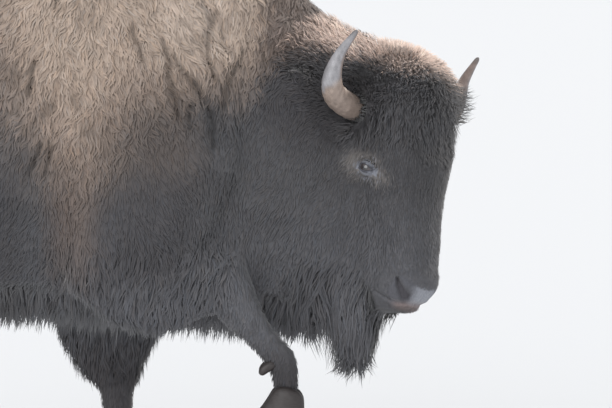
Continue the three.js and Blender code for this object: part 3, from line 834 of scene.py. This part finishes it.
def comb(rooted, lie, coat, rings, tree, rng):
    """Lay each tuft's middle line over the skin, from root to tip."""
    place, facing = rooted["place"], rooted["facing"]
    count = len(place)
    centre, lock, lock_count = locks(place, rng, LOCK)

    def varied(value, low, high, lock_low, lock_high):
        """A value that differs from tuft to tuft, and from lock to lock."""
        value = value * rng.uniform(low, high, count)
        return value * rng.uniform(lock_low, lock_high, lock_count)[lock]

    sway = rng.normal(0, 0.22, lock_count)[lock] + rng.normal(0, 0.1, count)
    sway += 0.25 * drift(place, 0.12, 21)
    outward = np.clip(dot(lie, facing)[:, 0], -1, 1)
    flat = unit(lie - facing * dot(lie, facing))
    side = np.cross(facing, flat)
    flat = unit(flat + side * sway[:, None])
    side = np.cross(facing, flat)
    length = varied(coat["length"], 0.8, 1.15, 0.85, 1.15)
    length *= np.where(rng.uniform(0, 1, count) < STRAYS, STRAY_REACH, 1)
    length = np.minimum(length, MOST * coat["length"])
    hang = varied(coat["hang"], 0.35, 1.1, 0.7, 1.1)
    layer = varied(coat["depth"], 0.5, 1.0, 0.82, 1.05)
    steep = np.clip(np.maximum(coat["stand"] * rng.uniform(0.6, 1.3, count), outward), 0, 0.97)
    reach = length * np.sqrt(1 - steep ** 2)
    phase = 2 * math.pi * (rng.uniform(0, 1, lock_count)[lock] + 0.12 * rng.uniform(0, 1, count))
    crimp = CRIMP * rng.uniform(0.8, 1.3, lock_count)[lock]
    longest = 1.2 * length / rings + 0.3 * coat["depth"] + 0.004
    path, outs, sunken = [], [], []
    for step in range(rings + 1):
        along = step / rings
        bend = coat["swing"] * math.sin(min(1, along * 2) * math.pi / 2)
        swing = bend * np.sin(2 * math.pi * along * length / crimp + phase)
        point = place + flat * (reach * along)[:, None] + side * swing[:, None]
        point = point + (centre - place) * (coat["pull"] * along)[:, None]
        rise = layer * math.sin(min(1, along / 0.6) * math.pi / 2) - 0.002 * (1 - along)
        rise = np.maximum(rise, np.minimum(length * steep, 1.15 * coat["depth"] + 0.002) * along)
        point = point + facing * (np.minimum(length * steep, hang) * along)[:, None]
        found = [tree.find_nearest(spot)[:2] for spot in point.tolist()]
        foot, above = np.array(found).transpose(1, 0, 2)
        clear = dot(point - foot, above)[:, 0]
        rise = np.maximum(rise, np.minimum(clear, hang * along ** 0.7))
        sunk = creased(rooted["shares"], foot)
        out = unit(above + facing * 0.6)
        stop = foot + out * (rise * (1 - 0.8 * sunk))[:, None]
        if path:  # a tuft that would reach over to another part of the body is held short
            gone = stop - path[-1]
            held = np.minimum(1, longest / np.maximum(size_of(gone), 1e-9))
            stop = path[-1] + gone * held[:, None]
        path.append(stop)
        outs.append(out)
        sunken.append(sunk)
    return np.stack(path, 1), np.stack(outs, 1), np.stack(sunken, 1), lock, lock_count


def at_corners(left, ridge, right, tip):
    """Values for the corners of tufts: three at each ring, one at the tip."""
    count, stops, width = tip.shape
    rings = np.stack([left, ridge, right], axis=2)[:, :-1].reshape(count, 3 * stops - 3, width)
    return np.concatenate([rings, tip[:, -1:]], axis=1)


def tuft_faces(rings):
    """The triangles of one tuft: closed at the root, pointed at the tip."""
    faces = [(0, 1, 2)]
    for first in range(0, rings * 3, 3):
        for a, b in ((first, first + 1), (first + 1, first + 2), (first + 2, first)):
            if first == rings * 3 - 3:
                faces.append((a, rings * 3, b))
            else:
                faces += [(a, a + 3, b + 3), (a, b + 3, b)]
    return np.array(faces)


SOFTNESS = 0.88  # how far a tuft takes its shading from the coat round it
PROFILE = {2: (0.75, 1.0, 0), 3: (0.7, 1.0, 0.8, 0)}  # width at each ring
RIDGE = 0.36  # height over half the width
MAP_PATCH = 0.003  # how much of the shared map a tuft covers


def tuft_mesh(name, path, outs, width, colours, chart):
    """Three-sided tapering tufts round their middle lines, all in one mesh."""
    count, stops, _ = path.shape
    rings = stops - 1
    ahead = unit(np.gradient(path, axis=1))
    side = unit(np.cross(outs, ahead))
    top = np.cross(ahead, side)
    half = np.outer(width, PROFILE[rings])[:, :, None] / 2
    points = at_corners(path - side * half, path + top * half * RIDGE, path + side * half, path)
    own = at_corners(-side, top, side, outs)
    soft = unit(own * (1 - SOFTNESS) + at_corners(outs, outs, outs, outs) * SOFTNESS)
    per_tuft = rings * 3 + 1
    indices = (np.arange(count)[:, None, None] * per_tuft + tuft_faces(rings)).reshape(-1)
    mesh = bpy.data.meshes.new(name)
    mesh.vertices.add(count * per_tuft)
    mesh.loops.add(len(indices))
    mesh.polygons.add(len(indices) // 3)
    store(mesh.vertices, "co", points)
    mesh.loops.foreach_set("vertex_index", indices.astype(np.int32))
    mesh.polygons.foreach_set("loop_start", np.arange(0, len(indices), 3, dtype=np.int32))
    mesh.update(calc_edges=True)
    mesh.shade_smooth()
    mesh.normals_split_custom_set_from_vertices(soft.reshape(-1, 3))
    paint(mesh, colours.reshape(-1, 3))
    around = np.concatenate([np.tile([-1, 0, 1], rings), [0]])
    along = np.concatenate([np.repeat(np.arange(rings) / rings, 3), [1]])
    patch = columns(around * 0.5, along - 0.5) * MAP_PATCH
    strand = columns(around * 0.5 + 0.5, along)
    maps = {"OFBake": chart[:, None, :] + patch, "strand": np.tile(strand, (count, 1))}
    for map_name, spread in maps.items():
        store(mesh.uv_layers.new(name=map_name).data, "uv", spread.reshape(-1, 2)[indices])
    return mesh


MINGLE = 0.009  # how far colours stray where they meet


def tuft_colours(rooted, sunken, speckle, lock, lock_count, rng):
    """Painted shade darkens each tuft at its root and in a fold, painted light lifts it toward the tip,
    and no two are quite the same tone.
    """
    count, stops = sunken.shape
    strayed = rng.normal(0, MINGLE, (count, 3)) * speckle[:, None]
    base = markings(rooted["place"] + strayed)
    shade = rng.normal(0, 0.05, count) + rng.normal(0, 0.08, lock_count)[lock]
    # painted shade at the root, passing to painted light at the tip
    fade = mix(-0.2, 0.08, (np.arange(stops) / (stops - 1)) ** 0.8)
    shade = 1 + speckle[:, None] * (shade[:, None] + fade)
    # painted shade down in the folds, on top of the painted shade at the root and painted light at the
    # tip
    colour = base[:, None, :] * (shade * (1 - FOLD_SHADE * sunken))[:, :, None]
    warm = rng.normal(0, 0.02, count)[:, None, None] * [1, 0, -1]
    colour = np.clip(colour * (1 + warm), 0.004, 0.9)
    return at_corners(colour, colour, colour, colour)


PIECES = {  # the slot of each, and the kinds of coat in it
    "coat_crest": ("cape_coat", "crest"),
    "coat_cape_right": ("cape_coat", "cape"),
    "coat_cape_left": ("cape_coat", "cape"),
    "coat_ruff_right": ("cape_coat", "cape"),
    "coat_ruff_left": ("cape_coat", "cape"),
    "coat_mane_right": ("dark_coat", "mane"),
    "coat_mane_left": ("dark_coat", "mane"),
    "coat_crown": ("dark_coat", "bonnet", "brow", "ear"),
    "coat_cuffs": ("dark_coat", "cuff", "wisp"),
    "coat_face": ("dark_coat", "face", "nose", "cheek"),
    "coat_beard": ("dark_coat", "beard"),
    "coat_fringe": ("dark_coat", "fringe"),
    "coat_chaps": ("dark_coat", "chaps"),
    "coat_flanks": ("body_coat", "flank"),
    "coat_rump": ("body_coat", "rump"),
    "coat_legs_and_tail": ("dark_coat", "shank", "dock", "switch"),
}
RUFF = 0.3  # the cape ahead of here, on neck and shoulder, is a piece of its own


def build_coat(mesh, shares):
    """Comb the whole coat and part it into pieces."""
    rng = np.random.default_rng(2026)
    rooted = roots(mesh, shares, rng)
    kind = rooted["shares"].argmax(1)
    polygons = [tuple(polygon.vertices) for polygon in mesh.polygons]
    tree = BVHTree.FromPolygons(coordinates(mesh).tolist(), polygons)
    lie = lie_of(rooted["place"], kind)
    hairy = is_hairy(rooted["place"])
    x, y, _ = rooted["place"].T
    parts = {"_right": y < 0, "_left": y >= 0, "_cape_": x < RUFF, "_ruff_": x >= RUFF}
    for name, (slot, *kinds) in PIECES.items():
        here = is_kind(kind, *kinds) & hairy
        for part, inside in parts.items():
            if part in name:
                here &= inside
        own = {key: value[here] for key, value in rooted.items()}
        rings = max(COATS[one]["rings"] for one in kinds)
        coat = {key: hair_values(own["shares"], key) for key in NUMBERS}
        path, outs, sunken, lock, lock_count = comb(own, lie[here], coat, rings, tree, rng)
        colours = tuft_colours(own, sunken, coat["speckle"], lock, lock_count, rng)
        width = coat["width"] * rng.uniform(0.75, 1.2, len(lock)) * WIDER
        yield new_object(name, tuft_mesh(name, path, outs, width, colours, own["chart"])), slot


def is_hairy(points):
    """No tufts grow on the lids, in the nostrils or on the bare nose."""
    out, side, up = in_head(points).T
    eye = (past_opening(*from_eye(out, up)) < 0.0115) & (np.abs(side) > 0.08)
    bare = (bare_nose(out, side, up) > 0.5) & (out > 0)
    return ~(eye | bare)


# ---- horns, hooves and eyes ----
def smooth_copy(names, cuts, swell_by):
    """A rounded copy of some nodes, through their own corners."""
    shape = bmesh.new()
    for name in names:
        shape.from_mesh(nodes[name].data)
    bmesh.ops.remove_doubles(shape, verts=shape.verts, dist=WELD)
    bmesh.ops.dissolve_limit(shape, angle_limit=0.01, verts=shape.verts, edges=shape.edges)
    bmesh.ops.recalc_face_normals(shape, faces=shape.faces)
    mesh = as_mesh(shape, names[0])
    corners = coordinates(mesh)
    piece = new_object(names[0] + "_smooth", mesh)
    rounding = piece.modifiers.new("rounding", "SUBSURF")
    rounding.levels = rounding.render_levels = cuts
    for _ in range(3):  # move the cage out until the round surface meets the corners
        result = as_modified(piece)
        place(mesh, coordinates(mesh) + 0.8 * (corners - coordinates(result)[:len(corners)]))
    bpy.data.objects.remove(piece)
    place(result, coordinates(result) + normals(result) * swell_by)
    result.shade_smooth()
    return result


HORN_BEND = (0.19, 0.3)  # out and up, the middle of the horn's curve
HORN_START, HORN_TURN = math.radians(-27), math.radians(141)  # and the arc of it that the horn fills


def horn_progress(points, sign):
    """0 where the horn leaves the skull, 1 at its tip."""
    _, side, up = in_head(points).T
    angle = np.arctan2(side * sign - HORN_BEND[0], HORN_BEND[1] - up)
    return np.clip((angle - HORN_START) / HORN_TURN, 0, 1)


TIP = 0.035  # the end of a horn, over which its direction is taken
TIP_ROUND = 0.011


def blunt_tip(points, root):
    """Draw the last centimetre of a horn in to a rounded end."""
    far = points[size_of(points - root).argmax()]
    away = size_of(points - far)
    at_end = away < TIP
    centre = points[at_end].mean(0)
    axis = unit(points[away < 0.012].mean(0) - centre)
    height = (points - centre) @ axis
    over_axis = points - centre - height[:, None] * axis
    near_end = np.where(at_end, np.clip(1 + (height - height[at_end].max()) / TIP_ROUND, 0, 1), 0)
    return centre + height[:, None] * axis + over_axis * np.sqrt(1 - (0.94 * near_end) ** 2)[:, None]


def build_horn(side, sign):
    mesh = smooth_copy([f"horn_{side}"], 3, 0.001)
    points = coordinates(mesh)
    along = horn_progress(points, sign)
    points = blunt_tip(points, points[along < 0.05].mean(0))
    rough = ramp(along, 0.62, 0.25)
    rings = np.sin(along * 60 + drift(points, 0.03, 31) * 1.2) * 0.5 + drift(points, 0.012, 32) * 0.5
    points = points + normals(mesh) * (0.0011 * rough * rings)[:, None]
    place(mesh, points)
    mesh.shade_smooth()
    root, shaft, tip = tone(150, 134, 124), tone(146, 144, 147), tone(96, 92, 92)
    colour = mix(root, shaft, ramp(along + 0.03 * drift(points, 0.04, 33), 0.46, 0.53)[:, None])
    # painted light: the inner front face of each horn is painted browner, where the sun behind glows
    # through it
    inward = normals(mesh) @ (-sign * across + 0.5 * out_of_face)
    inner = ramp(inward, 0.1, 0.8) * ramp(along, 0.45, 0.55)
    colour = mix(colour, tone(134, 112, 100), 0.7 * inner[:, None])
    colour = mix(colour, tip, ramp(along, 0.86, 1.0)[:, None])
    streaks = drift(columns(along * 0.12, *in_head(points).T[:2]), 0.012, 35)
    mottle = 1 + 0.1 * drift(points, 0.02, 34) + 0.14 * streaks
    paint(mesh, colour * mottle[:, None])
    return new_object(f"horn_{side}_keratin", mesh)


FEET = ("fore_left", "fore_right", "hind_left", "hind_right")
RAISED = "fore_right"


def claws_of(foot):
    return [f"{part}_{foot}_{side}" for part in ("hoof", "dewclaw") for side in ("inner", "outer")]


def build_hooves(foot):
    mesh = smooth_copy(claws_of(foot), 2, 0.0012)
    points = coordinates(mesh)
    if foot != RAISED:
        points[:, 2] = np.maximum(points[:, 2], 0)
    place(mesh, points)
    paint(mesh, np.tile(tone(52, 47, 46), (len(points), 1)))
    return new_object(f"hooves_{foot}", mesh)


def build_eye(side, sign):
    """A wet ball with a swollen cornea over a level pupil."""
    shape = bmesh.new()
    bmesh.ops.create_uvsphere(shape, u_segments=36, v_segments=24, radius=EYE_RADIUS - 0.0006)
    mesh = as_mesh(shape, f"eyeball_{side}")
    points = coordinates(mesh)
    gaze = unit([0.28, sign, -0.1])
    facing = (unit(points) @ gaze)[:, None]
    points = points * (1 + 0.025 * ramp(facing, 0.78, 0.97))
    upness = points[:, 2] / EYE_RADIUS
    fore = (points[:, 0] - 0.28 * sign * points[:, 1]) / EYE_RADIUS
    pupil = np.hypot(fore / 0.42, (upness + 0.08) / 0.2)  # a level slot
    iris, black, rim = tone(62, 56, 56), tone(24, 24, 28), tone(70, 70, 76)
    colour = mix(black, iris, ramp(pupil, 0.85, 1.1)[:, None])
    colour = mix(colour, rim, ramp(facing, 0.8, 0.7))
    place(mesh, from_head(points + [EYE_FORWARD, sign * eye_out, 0]))
    paint(mesh, colour)
    mesh.shade_smooth()
    return new_object(f"eyeball_{side}", mesh)


# ---- materials ----
def fill(node, **values):
    """Set a node's sockets, named with _ for a space."""
    for socket, value in values.items():
        node.inputs[socket.replace("_", " ")].default_value = value
    return node


def material(name, roughness, bump=0.0, scale=400.0, stretch=(1, 1, 1), mottle=0.15, sheen=0.0,
             coat=0.0, grain_map=None):
    """A finish that reads the markings, with grain in its colour and its relief."""
    made = bpy.data.materials.new(name)
    made.use_nodes = True
    tree = made.node_tree
    add, link = tree.nodes.new, tree.links.new
    shader = fill(tree.nodes["Principled BSDF"], Roughness=roughness,
                  Specular_IOR_Level=0.5 if roughness < 0.6 else 0.2, Sheen_Weight=sheen,
                  Sheen_Roughness=0.5, Coat_Weight=coat, Coat_Roughness=0.03)
    marking = add("ShaderNodeAttribute")
    marking.attribute_name = "marking"
    if grain_map:
        where = add("ShaderNodeUVMap")
        where.uv_map = grain_map
        origin = where.outputs["UV"]
    else:
        origin = add("ShaderNodeTexCoord").outputs["Object"]
    mapping = fill(add("ShaderNodeMapping"), Scale=stretch)
    grain = fill(add("ShaderNodeTexNoise"), Scale=scale, Detail=3)
    spread = fill(add("ShaderNodeMapRange"), From_Min=0.3, From_Max=0.7,
                  To_Min=1 - mottle, To_Max=1 + mottle)
    tint = add("ShaderNodeVectorMath")
    tint.operation = "SCALE"
    link(origin, mapping.inputs["Vector"])
    link(mapping.outputs["Vector"], grain.inputs["Vector"])
    link(grain.outputs["Fac"], spread.inputs["Value"])
    link(marking.outputs["Color"], tint.inputs[0])
    link(spread.outputs["Result"], tint.inputs["Scale"])
    link(tint.outputs["Vector"], shader.inputs["Base Color"])
    if bump:
        relief = fill(add("ShaderNodeBump"), Strength=0.6, Distance=bump)
        link(grain.outputs["Fac"], relief.inputs["Height"])
        link(relief.outputs["Normal"], shader.inputs["Normal"])
    return made


# ---- putting it together ----
def dress(piece, finish, slot, *replaced):
    piece.data.materials.append(finish)
    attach(piece, "root")
    if replaced:
        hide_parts(*replaced)


hide = material("hide_with_short_hair", 0.85, bump=0.002, scale=260, stretch=(1, 1, 0.35), sheen=0.2)
hair = material("hair", 0.8, mottle=0.12, scale=14, stretch=(1, 0.12, 1), sheen=0.25, grain_map="strand")
keratin = material("horn", 0.42, bump=0.0008, scale=500, mottle=0.18)
claw = material("hoof_horn", 0.5, bump=0.0012, scale=300, stretch=(0.3, 0.3, 2), mottle=0.25)
wet = material("wet_eye", 0.12, mottle=0.05, coat=1.0)

skin_mesh, shares = build_skin()
unwrap(skin_mesh)
dress(new_object("skin", skin_mesh), hide, "dark_coat", *FLESH)
for tufts, slot in build_coat(skin_mesh, shares):
    dress(tufts, hair, slot)
for side, sign in SIDES.items():
    dress(build_horn(side, sign), keratin, "horn", f"horn_{side}")
    dress(build_eye(side, sign), wet, "eye", f"eye_{side}")
for foot in FEET:
    dress(build_hooves(foot), claw, "hoof", *claws_of(foot))


# ---- floor, light and camera ----
FLOOR_HALF = 120


def build_floor():
    shape = bmesh.new()
    bmesh.ops.create_grid(shape, x_segments=1, y_segments=1, size=FLOOR_HALF)
    floor = new_object("floor", as_mesh(shape, "floor"))
    pale = bpy.data.materials.new("pale_floor")
    pale.use_nodes = True
    fill(pale.node_tree.nodes["Principled BSDF"], Base_Color=(0.645, 0.66, 0.685, 1), Roughness=0.9)
    floor.data.materials.append(pale)
    floor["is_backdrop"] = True


def sunlight(name, source, strength, spread, colour=(1, 1, 1)):
    """Light from far off, so that the floor is as bright everywhere."""
    lamp = bpy.data.lights.new(name, "SUN")
    lamp.energy, lamp.angle, lamp.color = strength, math.radians(spread), colour
    holder = new_object(name, lamp)
    holder.rotation_euler = (-Vector(source)).to_track_quat("-Z", "Y").to_euler()


def build_light():
    world = bpy.data.worlds.new("studio")
    scene.world = world
    world.use_nodes = True
    tree = world.node_tree
    add, link = tree.nodes.new, tree.links.new
    sky = fill(tree.nodes["Background"], Color=(0.94, 0.97, 1.0, 1), Strength=0.8)
    backdrop = fill(add("ShaderNodeBackground"), Color=(0.9, 0.92, 0.95, 1))
    choice = add("ShaderNodeMixShader")
    link(add("ShaderNodeLightPath").outputs["Is Camera Ray"], choice.inputs["Fac"])
    link(sky.outputs["Background"], choice.inputs[1])
    link(backdrop.outputs["Background"], choice.inputs[2])
    link(choice.outputs["Shader"], tree.nodes["World Output"].inputs["Surface"])
    sunlight("low_sun", (0.75, 0.8, 0.75), 2.4, 6, (1.0, 0.93, 0.85))
    sunlight("front", (-0.45, -1.0, 0.36), 1.7, 50)


# The view is a long lens from far off, level with the chest and a little above it.
VIEW_CENTRE = Vector((0.834, -0.1, 0.856))
VIEW_DISTANCE = 14.0
VIEW_WIDTH = 1.569
VIEW_DOWN = math.radians(5)
SENSOR = 36  # millimetres


def build_camera():
    lens = bpy.data.cameras.new("camera")
    lens.sensor_width = SENSOR
    lens.lens = SENSOR * VIEW_DISTANCE / VIEW_WIDTH
    lens.clip_end = 500
    camera = new_object("camera", lens)
    back = Vector((0, -math.cos(VIEW_DOWN), math.sin(VIEW_DOWN)))
    camera.location = VIEW_CENTRE + back * VIEW_DISTANCE
    camera.rotation_euler = (-back).to_track_quat("-Z", "Y").to_euler()
    scene.camera = camera


build_floor()
build_light()
build_camera()
scene.view_settings.view_transform = "Standard"

boxes = {"cad": cad_box, "visual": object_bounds()}
{name: [list(corner) for corner in box] for name, box in boxes.items()}
